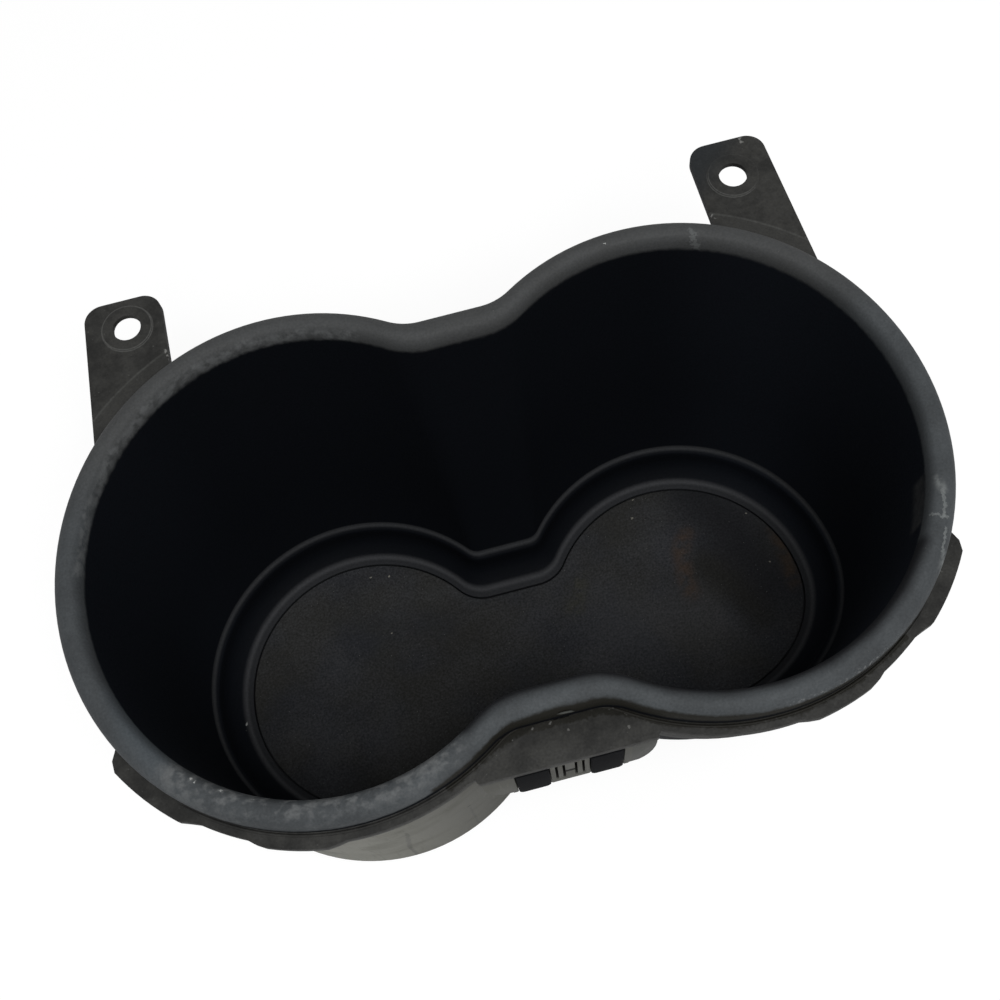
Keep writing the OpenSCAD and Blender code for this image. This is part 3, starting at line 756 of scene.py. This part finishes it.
CARRIER_PLASTIC = carrier_plastic()
HOUSING_PLASTIC = housing_plastic()
STOP_RUBBER = stop_rubber()
print("finishes:", sorted(m.name for m in bpy.data.materials))

# %% [markdown]
# ## The liner
# One loft runs up the outside, over the rolled rim, down the drafted wall, over the ledge and round the
# fillet to the recess of the mat. It could be modelled as two cups joined by a Boolean, but the waist
# would then have no even wall, and the rim's roll would break at the joint. As a loft it is one skin.

# %% Levels of the liner
FOOT_INSET = LEDGE[0] - 34.1
RIM_ROLL = [(1, 0.88), (0.9, 1), (0.55, 1.01), (0.36, 0.98), (0.18, 0.88), (0.06, 0.72), (0, 0.52),
            (0.02, 0.36), (0.09, 0.2), (0.25, 0.08), (0.45, 0.02)]
FILLET = [(0.6, 0.05), (0.42, 0.16), (0.26, 0.36), (0.13, 0.6), (0.04, 0.82), (0, 0.96)]
LEDGE_STEP = [(0, 0.15), (0.35, 0.55), (0.8, 0.88), (1.5, 1)]
RECESS_INSET = LEDGE_WIDTH + 0.965 * POCKET_DROP

outside = [level(1.2, pocket_plan(FOOT_INSET + 2.6)),
           level(MAT_TOP - 0.6, pocket_plan(POCKET_DROP * 0.55 - WALL)),
           level(LEDGE_TOP - 2.2, pocket_plan(LEDGE_WIDTH - WALL)),
           level(LEDGE_TOP - 1.0, pocket_plan(0.3 - WALL))]
outside += [level(z, grown(wall_plan(z), WALL)) for z in np.linspace(LEDGE_TOP, FLANGE_TOP, 4)]
rim = smoothed([level(RIM_TOP - drop * RIM_HEIGHT, grown(MOUTH, reach * RIM_WIDTH, reach * RIM_WAIST_EXTRA))
                for drop, reach in RIM_ROLL] + [level(WALL_TOP, MOUTH)], 4)
# The smooth curve swings a little past its levels; the rim may not stand out of the solid.
largest = level(RIM_TOP, grown(MOUTH, RIM_WIDTH * 1.01, RIM_WAIST_EXTRA * 1.01))
for row in rim:
    row[:4] = np.minimum(row[:4], largest[:4])
wall = [level(z, wall_plan(z)) for z in np.linspace(WALL_TOP, LEDGE_TOP, 4)[1:-1]]
step = [level(LEDGE_TOP - drop, pocket_plan(LEDGE_WIDTH * share)) for drop, share in LEDGE_STEP]
fillet = [level(between(MAT_TOP, LEDGE_TOP, rise), pocket_plan(LEDGE_WIDTH + inset * POCKET_DROP))
          for rise, inset in FILLET]
ledge = smoothed([level(LEDGE_TOP + 0.4, wall_plan(LEDGE_TOP)), *step, *fillet], 4)
recess = [level(MAT_LOW, pocket_plan(RECESS_INSET))]
liner_levels = [*outside, *rim, *wall, *ledge, *recess]
print("liner levels:", len(liner_levels))

# %% Loft the liner and join its foot and lugs
FOOT_HIGH = 2.0
FOOT_HOLLOW = 0.9
FOOT_WIDTH = 3.0
RIB = 1.4
CUT = 0.5
LUG = (7.0, 3.0)
LUG_TOP = 61.2
LUG_TIP = 2.6


def box_mesh(piece_name, boxes, material):
    """One object of closed boxes, each given by its low and high corner in millimetres."""
    bm = bmesh.new()
    for low, high in boxes:
        low, high = Vector(low) * MM, Vector(high) * MM
        size = high - low
        made = bmesh.ops.create_cube(bm, size=1.0)
        for vert in made["verts"]:
            vert.co = Vector(c * s for c, s in zip(vert.co, size)) + (low + high) / 2
    mesh = bpy.data.meshes.new(piece_name)
    bm.to_mesh(mesh)
    bm.free()
    mesh.materials.append(material)
    return new_object(piece_name, mesh)


def applied(piece):
    """The piece with its modifiers made real and removed."""
    depsgraph = bpy.context.evaluated_depsgraph_get()
    mesh = bpy.data.meshes.new_from_object(piece.evaluated_get(depsgraph), depsgraph=depsgraph)
    piece.modifiers.clear()
    piece.data = mesh
    return piece


def combine(piece, other, operation):
    """A Boolean of the piece with the other, which is then removed."""
    modifier = piece.modifiers.new("combine", "BOOLEAN")
    modifier.operation = operation
    modifier.solver = "EXACT"
    modifier.object = other
    applied(piece)
    bpy.data.objects.remove(other)
    return piece


def liner_foot():
    """The foot plate, hollowed between its edge and three ribs."""
    foot = loft("foot", [level(0.0, pocket_plan(FOOT_INSET)), level(FOOT_HIGH, pocket_plan(FOOT_INSET))],
                LINER_PLASTIC)
    hollow_plan = pocket_plan(FOOT_INSET + FOOT_WIDTH)
    hollow = loft("hollow", [level(-CUT, hollow_plan), level(FOOT_HOLLOW, hollow_plan)], LINER_PLASTIC)
    ribs = box_mesh("ribs", [((x - RIB / 2, -60, -2 * CUT), (x + RIB / 2, 60, FOOT_HOLLOW + CUT))
                             for x in (-HALF_SPACING, 0, HALF_SPACING)], LINER_PLASTIC)
    return combine(foot, combine(hollow, ribs, "DIFFERENCE"), "DIFFERENCE")


def liner_lugs():
    """Lugs on the wall that catch under the collar of the carrier."""
    tip = grown(MOUTH, LUG_TIP)
    root = wall_plan(LUG_TOP)
    low, high, half = LUG_TOP - LUG[1], LUG_TOP, LUG[0] / 2
    boxes = []
    for s in (-1, 1):
        ends = sorted((s * (HALF_SPACING + tip[0]), s * (HALF_SPACING + root[0] + WALL / 2)))
        boxes.append(((ends[0], root[4] - half, low), (ends[1], root[4] + half, high)))
        x = s * HALF_SPACING
        front = root[4] - root[1] + (root[5] if s > 0 else 0.0) - WALL / 2
        boxes.append(((x - half, root[4] + root[1] + WALL / 2, low), (x + half, tip[4] + tip[1], high)))
        boxes.append(((x - half, tip[4] - tip[1], low), (x + half, front, high)))
    return box_mesh("lugs", boxes, LINER_PLASTIC)


liner_skin = loft("liner_skin", liner_levels, LINER_PLASTIC)
combine(liner_skin, liner_foot(), "UNION")
combine(liner_skin, liner_lugs(), "UNION")
smooth_by_angle(liner_skin)
print("liner_skin:", len(liner_skin.data.polygons), "faces")

# %% [markdown]
# ## The floor mat
# The mat is die-cut rubber, so its top edge is only a little rounded. It is the same kind of loft, with
# the recess's own inset and the gap that lets it drop in.

# %% Loft the mat
MAT_GAP = 0.3
MAT_ROUND = 0.3
mat_plan = RECESS_INSET + MAT_GAP
mat_levels = [level(MAT_LOW, pocket_plan(mat_plan)), level(MAT_TOP - MAT_ROUND, pocket_plan(mat_plan))]
for turn in np.radians([30, 60, 90]):
    mat_levels.append(level(MAT_TOP - MAT_ROUND * (1 - math.sin(turn)),
                            pocket_plan(mat_plan + MAT_ROUND * (1 - math.cos(turn)))))
mat_skin = loft("mat_skin", mat_levels, MAT_RUBBER)
smooth_by_angle(mat_skin)
print("mat_skin:", len(mat_skin.data.polygons), "faces")

# %% [markdown]
# ## The frame, the housing and the stops
# Their solids already have the right shape, but a moulded edge is never sharp, and a sharp edge catches
# no light. A copy of each solid is merged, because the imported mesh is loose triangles, and flat areas
# are dissolved. A small bevel then rounds the edges as far as the small faces beside them leave room.

# %% Bevelled copies of the solids
FLAT = math.radians(0.6)
EDGE = math.radians(32)


def softened(name, node, width, material):
    """A merged copy of a CAD node with its edges rounded by the width in millimetres."""
    bm = bmesh.new()
    bm.from_mesh(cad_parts[node].data)
    bmesh.ops.remove_doubles(bm, verts=bm.verts, dist=2e-6)
    bmesh.ops.dissolve_limit(bm, angle_limit=FLAT, verts=bm.verts, edges=bm.edges)
    mesh = bpy.data.meshes.new(name)
    bm.to_mesh(mesh)
    bm.free()
    mesh.materials.clear()
    mesh.materials.append(material)
    piece = new_object(name, mesh)
    bevel = piece.modifiers.new("bevel", "BEVEL")
    bevel.width = width * MM
    bevel.segments = 2
    bevel.limit_method = "ANGLE"
    bevel.angle_limit = EDGE
    applied(piece)
    smooth_by_angle(piece)
    return piece


SKINS = [("carrier_skin", "carrier_frame", 0.35, CARRIER_PLASTIC),
         ("housing_skin", "lower_housing", 0.2, HOUSING_PLASTIC),
         ("left_stop_skin", "left_bump_stop", 0.35, STOP_RUBBER),
         ("right_stop_skin", "right_bump_stop", 0.35, STOP_RUBBER)]
skins = [softened(*row) for row in SKINS]
for piece in skins:
    print(piece.name, len(piece.data.polygons), "faces")

# %% [markdown]
# ## A smooth shell on the housing
# The solid's housing is round only in steps, and its lower edge shows them. A thin shell follows the same
# levels with many more points around, up the outside and down the inside, and back to its first ring, so
# that it closes on itself. It stands 0.01 mm proud of the solid, so that the two faces don't fight, and it
# is cut away under the right cup along the same slope as the solid.

# %% Loft the shell
HOUSING_IN, HOUSING_OUT, HOUSING_REACH = 3.1, 4.61, 3.51
HOUSING_FOOT, HOUSING_BEND = 2.0, 57.4
FLANGE_UNDER = FLANGE_TOP - 2.6
SLOPE_START, SLOPE_END, SHALLOW = -4.0, 5.0, FLANGE_UNDER - 17.0
FAR = 120.0


def housing_level(z, t):
    """A level of the housing, whose wall stands t outside the mouth and draws in below the bend."""
    share = min(max((HOUSING_BEND - z) / (HOUSING_BEND - LEDGE_TOP), 0.0), 1.0)
    return level(z, grown(between(MOUTH, LEDGE, share), t + (HOUSING_REACH - HOUSING_OUT) * share))


def prism(name, outline, material):
    """A closed prism across the whole width in y, from an outline in x and z."""
    mesh = bpy.data.meshes.new(name)
    count = len(outline)
    points = [(x * MM, side * FAR * MM, z * MM) for side in (-1, 1) for x, z in outline]
    sides = [(i + count, (i + 1) % count + count, (i + 1) % count, i) for i in range(count)]
    mesh.from_pydata(points, [], [*sides, tuple(range(count)), tuple(range(count, 2 * count))[::-1]])
    mesh.materials.append(material)
    return new_object(name, mesh)


heights = [HOUSING_FOOT, LEDGE_TOP, (LEDGE_TOP + HOUSING_BEND) / 2, HOUSING_BEND, FLANGE_UNDER]
shell_levels = [housing_level(z, HOUSING_OUT) for z in heights]
shell_levels += [housing_level(z, HOUSING_IN) for z in reversed(heights)]
shell_levels.append(shell_levels[0])
shell = loft("housing_shell", shell_levels, HOUSING_PLASTIC)
below_right = prism("below_right", [(SLOPE_START, -FAR), (FAR, -FAR), (FAR, SHALLOW), (SLOPE_END, SHALLOW),
                                    (SLOPE_START, HOUSING_FOOT)], HOUSING_PLASTIC)
combine(shell, below_right, "DIFFERENCE")
smooth_by_angle(shell)
low_right = [v.co.z / MM for v in shell.data.vertices if v.co.x > SLOPE_END * MM]
print("housing_shell:", len(shell.data.polygons), "faces, lowest on the right %.1f mm" % min(low_right))

# %% [markdown]
# ## The bead under the rim
# Along the front, a thin bead runs on the flange beside the foot of the rim. It follows a path, so
# Geometry Nodes sweep a small circle along it. The path comes from the same rule as the rim, and the
# radius falls away at both ends, so that the bead sinks into the flange.

# %% Sweep the bead
BEAD_OUT = 5.75
BEAD_RADIUS = 0.3
BEAD_START, BEAD_END = 2.32, 3.68


def sweep_tree():
    """A tree that sweeps a circle along a path, thinner towards its ends."""
    tree, given = new_tree("swept_bead", {
        "Path": "Object", "Radius": "Float", "Taper": "Float", "Sides": "Int", "Material": "Material"})
    path = add(tree, "GeometryNodeObjectInfo", Object=given["Path"])
    curve = add(tree, "GeometryNodeMeshToCurve", Mesh=path.outputs["Geometry"])
    along = Field(tree, tree.nodes.new("GeometryNodeSplineParameter").outputs["Factor"])
    taper = Field(tree, given["Taper"])
    full = call("MINIMUM", clamped(along / taper), clamped((1.0 - along) / taper))
    circle = add(tree, "GeometryNodeCurvePrimitiveCircle",
                 Resolution=given["Sides"], Radius=given["Radius"])
    swept = add(tree, "GeometryNodeCurveToMesh", Curve=curve.outputs[0],
                Profile_Curve=circle.outputs["Curve"], Scale=call("SQRT", full), Fill_Caps=True)
    smooth = add(tree, "GeometryNodeSetShadeSmooth", Geometry=swept.outputs[0])
    finish_tree(tree, smooth.outputs[0], given["Material"])
    return tree


def path_object(points):
    """A chain of edges through the points, given in millimetres."""
    mesh = bpy.data.meshes.new("path")
    edges = [(i, i + 1) for i in range(len(points) - 1)]
    mesh.from_pydata([[c * MM for c in point] for point in points], edges, [])
    return bpy.data.objects.new("path", mesh)


bead_path = path_object([(*figure_eight(a, *grown(MOUTH, BEAD_OUT)), FLANGE_TOP)
                         for a in np.linspace(BEAD_START, BEAD_END, 160)])
SWEEP = sweep_tree()
bead = run_tree("rim_bead", SWEEP, {
    "Path": bead_path, "Radius": BEAD_RADIUS * MM, "Taper": 0.06, "Sides": 12, "Material": CARRIER_PLASTIC})
print("rim_bead:", len(bead.data.polygons), "faces")

# %% [markdown]
# ## Small parts at the front of the waist
# A tongue fills the notch of the plate. A small grey curl of plastic clings to the roll of the rim above
# it, and is swept like the bead. Thin lips close the slits beside the rubber stops, so that no light comes
# up between them.

# %% The latch and the lips
LATCH = [((-1.01, -36.61, 71.7), (2.01, -35.05, 72.99))]
CURL = [(-0.2, -34.95, 76.6), (0.6, -35.05, 77.0), (1.5, -35.1, 77.05), (2.4, -35.1, 76.8),
        (3.1, -35.1, 76.0)]
CURL_RADIUS = 0.2
LIP_LOW, LIP_HIGH = 54.7, 58.0
LIP_FRONT, LIP_BACK = -42.4, -38.2
LIPS = [(3.7, 4.02), (10.28, 10.5)]

latch = box_mesh("latch", LATCH, CARRIER_PLASTIC)
smooth_by_angle(latch)
curl = run_tree("latch_curl", SWEEP, {
    "Path": path_object(CURL), "Radius": CURL_RADIUS * MM, "Taper": 0.2, "Sides": 10,
    "Material": HOUSING_PLASTIC})
lip_sides = [sorted((s * a, s * b)) for s in (-1, 1) for a, b in LIPS]
lips = box_mesh("stop_lips", [((a, LIP_FRONT, LIP_LOW), (b, LIP_BACK, LIP_HIGH)) for a, b in lip_sides],
                HOUSING_PLASTIC)
print("small parts:", [len(piece.data.polygons) for piece in (latch, curl, lips)], "faces")

# %% [markdown]
# ## Dust
# Pale specks lie on the mat and the rim. They repeat by the hundred, so Geometry Nodes scatter one tiny
# flattened grain over the faces that look up. The seed is fixed, so every run gives the same dust.

# %% Scatter the dust
DUST_GREY = (0.16, 0.16, 0.155)
UPWARD = 0.8


def dust_finish():
    """Pale matt dust."""
    f = Finish("dust")
    drift = f.noise(2.0, 2.0, seed=12.0)
    colour = f.mix(drift, MAT_DUST, DUST_GREY)
    return f.dress(colour, 0.9, drift, 0.02, 0.1)


def dust_tree():
    """A tree that scatters flattened grains over the upward faces of a surface."""
    tree, given = new_tree("scattered_dust", {
        "Surface": "Object", "Density": "Float", "Seed": "Int", "Smallest": "Float", "Largest": "Float",
        "Lowest": "Float", "Material": "Material"})
    surface = add(tree, "GeometryNodeObjectInfo", Object=given["Surface"])
    normal = axes(tree, add(tree, "GeometryNodeInputNormal").outputs[0])
    place = axes(tree, add(tree, "GeometryNodeInputPosition").outputs[0])
    upward = normal[2] > UPWARD
    high = place[2] > Field(tree, given["Lowest"])
    points = add(tree, "GeometryNodeDistributePointsOnFaces", Mesh=surface.outputs["Geometry"],
                 Selection=upward * high, Density=given["Density"], Seed=given["Seed"])
    grain = add(tree, "GeometryNodeMeshIcoSphere", Radius=1.0, Subdivisions=1)
    size = tree.nodes.new("FunctionNodeRandomValue")
    feed(tree, given["Smallest"], size.inputs[2])
    feed(tree, given["Largest"], size.inputs[3])
    feed(tree, given["Seed"], size.inputs["Seed"])
    wide = Field(tree, size.outputs[1])
    scale = add(tree, "ShaderNodeCombineXYZ", X=wide, Y=wide * 0.7, Z=wide * 0.35)
    placed = add(tree, "GeometryNodeInstanceOnPoints", Points=points.outputs["Points"],
                 Instance=grain.outputs[0], Rotation=points.outputs["Rotation"], Scale=scale.outputs[0])
    finish_tree(tree, placed.outputs[0], given["Material"])
    return tree


DUST = dust_finish()
SCATTER = dust_tree()
mat_dust = run_tree("mat_dust", SCATTER, {
    "Surface": mat_skin, "Density": 60000.0, "Seed": 11, "Smallest": 0.05 * MM, "Largest": 0.13 * MM,
    "Lowest": 0.0, "Material": DUST})
rim_dust = run_tree("rim_dust", SCATTER, {
    "Surface": liner_skin, "Density": 30000.0, "Seed": 5, "Smallest": 0.05 * MM, "Largest": 0.12 * MM,
    "Lowest": (RIM_TOP - 1.2) * MM, "Material": DUST})
print("dust:", len(mat_dust.data.polygons), "and", len(rim_dust.data.polygons), "faces")

# %% [markdown]
# ## Which piece stands for which solid
# Nothing on this insert moves, so every piece rides on the one body. Each dressed piece hides the
# solid that it replaces, and each piece is listed beside the name of a finish.

# %% Hide the replaced solids and attach the pieces
replaced = [(liner_skin, "liner", "liner_plastic"), (mat_skin, "floor_mat", "mat_rubber")]
FINISHES = ("carrier_plastic", "housing_plastic", "stop_rubber", "stop_rubber")
replaced += [(piece, row[1], finish) for piece, row, finish in zip(skins, SKINS, FINISHES)]
for piece, node, finish in replaced:
    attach(piece, "root")
    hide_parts(node)
small_pieces = [(shell, "housing_plastic"), (bead, "carrier_plastic"), (latch, "carrier_plastic"),
                (curl, "housing_plastic"), (lips, "housing_plastic"), (mat_dust, "mat_rubber"),
                (rim_dust, "liner_plastic")]
for piece, finish in small_pieces:
    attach(piece, "root")
print("pieces:", len(replaced) + len(small_pieces))

# %% [markdown]
# ## Floor, light and camera
# The photograph has a plain white ground, and it looks steeply down into the cups from the front. The
# floor is pale for the light that it throws back, and the camera sees it as white with the soft shadow
# kept. One big lamp above lights what faces up and leaves the walls of the cups dark, and the world
# fills in the rest. Together they light a level surface at a plain 1, so a colour renders as written.

# %% The floor
FLOOR_SIZE = 4.0
FLOOR_PALE, SHADE_PALE, GLOW = 0.8, 0.22, 0.82


def floor_finish():
    """A pale floor that the camera sees as white, with its shadow kept."""
    material = bpy.data.materials.new("floor_white")
    material.use_nodes = True
    tree = material.node_tree
    tree.nodes.clear()
    lit, shade = (add(tree, "ShaderNodeBsdfDiffuse", Color=(pale, pale, pale, 1.0))
                  for pale in (FLOOR_PALE, SHADE_PALE))
    glow = add(tree, "ShaderNodeEmission", Color=(1.0, 1.0, 1.0, 1.0), Strength=GLOW)
    seen = tree.nodes.new("ShaderNodeAddShader")
    tree.links.new(shade.outputs[0], seen.inputs[0])
    tree.links.new(glow.outputs[0], seen.inputs[1])
    pick = tree.nodes.new("ShaderNodeMixShader")
    tree.links.new(tree.nodes.new("ShaderNodeLightPath").outputs["Is Camera Ray"], pick.inputs[0])
    tree.links.new(lit.outputs[0], pick.inputs[1])
    tree.links.new(seen.outputs[0], pick.inputs[2])
    tree.links.new(pick.outputs[0], tree.nodes.new("ShaderNodeOutputMaterial").inputs["Surface"])
    return material


bm = bmesh.new()
bmesh.ops.create_grid(bm, x_segments=1, y_segments=1, size=FLOOR_SIZE)
floor_mesh = bpy.data.meshes.new("floor")
bm.to_mesh(floor_mesh)
bm.free()
floor_mesh.materials.append(floor_finish())
floor = new_object("floor", floor_mesh)
print("floor:", FLOOR_SIZE * 2, "m wide")

# %% The world and the lamp
WORLD_LEVEL = 0.35
LAMP_LEVEL = 0.65
LAMP_SIZE = 0.6
LAMP_PLACE = Vector((0.12, -0.45, 1.1))


def white_world():
    """A world that lights at its level and that the camera and reflections see as white."""
    world = bpy.data.worlds.new("studio")
    bpy.context.scene.world = world
    world.use_nodes = True
    tree = world.node_tree
    path = add(tree, "ShaderNodeLightPath")
    camera, glossy, through = (Field(tree, path.outputs["Is %s Ray" % kind])
                               for kind in ("Camera", "Glossy", "Transmission"))
    share = clamped(camera + glossy + through)
    feed(tree, between(WORLD_LEVEL, 1.0, share), tree.nodes["Background"].inputs["Strength"])
    tree.nodes["Background"].inputs["Color"].default_value = (1.0, 1.0, 1.0, 1.0)


def overhead_lamp():
    """A big soft lamp that lights the floor under it at its level."""
    light = bpy.data.lights.new("overhead", "AREA")
    light.size = LAMP_SIZE
    light.energy = LAMP_LEVEL * math.pi ** 2 * LAMP_PLACE.length ** 3 / LAMP_PLACE.z
    lamp = bpy.data.objects.new("overhead", light)
    bpy.context.scene.collection.objects.link(lamp)
    lamp.location = LAMP_PLACE
    lamp.rotation_euler = (-LAMP_PLACE).to_track_quat("-Z", "Y").to_euler()
    return light


white_world()
print("lamp:", round(overhead_lamp().energy, 2), "W")

# %% The camera
AZIMUTH, ELEVATION, ROLL = (math.radians(angle) for angle in (-3.915, 67.083, -10.87))
AIM = Vector((0.0, 6.191, RIM_TOP))
SLIDE_RIGHT, SLIDE_UP = -0.136, 0.419
DISTANCE = 234.098
FOCAL_PIXELS = 1243.774
IMAGE_PIXELS = 1000
SENSOR = 36.0

level_back = Vector((math.sin(AZIMUTH), -math.cos(AZIMUTH), 0.0))
level_right = Vector((math.cos(AZIMUTH), math.sin(AZIMUTH), 0.0))
back = level_back * math.cos(ELEVATION) + Vector((0.0, 0.0, math.sin(ELEVATION)))
level_up = back.cross(level_right)
right = level_right * math.cos(ROLL) + level_up * math.sin(ROLL)
up = level_up * math.cos(ROLL) - level_right * math.sin(ROLL)
spot = (AIM + right * SLIDE_RIGHT + up * SLIDE_UP + back * DISTANCE) * MM
camera = bpy.data.objects.new("camera", bpy.data.cameras.new("camera"))
bpy.context.scene.collection.objects.link(camera)
camera.data.sensor_width = SENSOR
camera.data.lens = FOCAL_PIXELS * SENSOR / IMAGE_PIXELS
camera.data.clip_start = 0.01
camera.matrix_world = Matrix.Translation(spot) @ Matrix((right, up, back)).transposed().to_4x4()
bpy.context.scene.camera = camera
bpy.context.scene.view_settings.view_transform = "Standard"
print("camera at", [round(c, 4) for c in spot], "lens", round(camera.data.lens, 2), "mm")
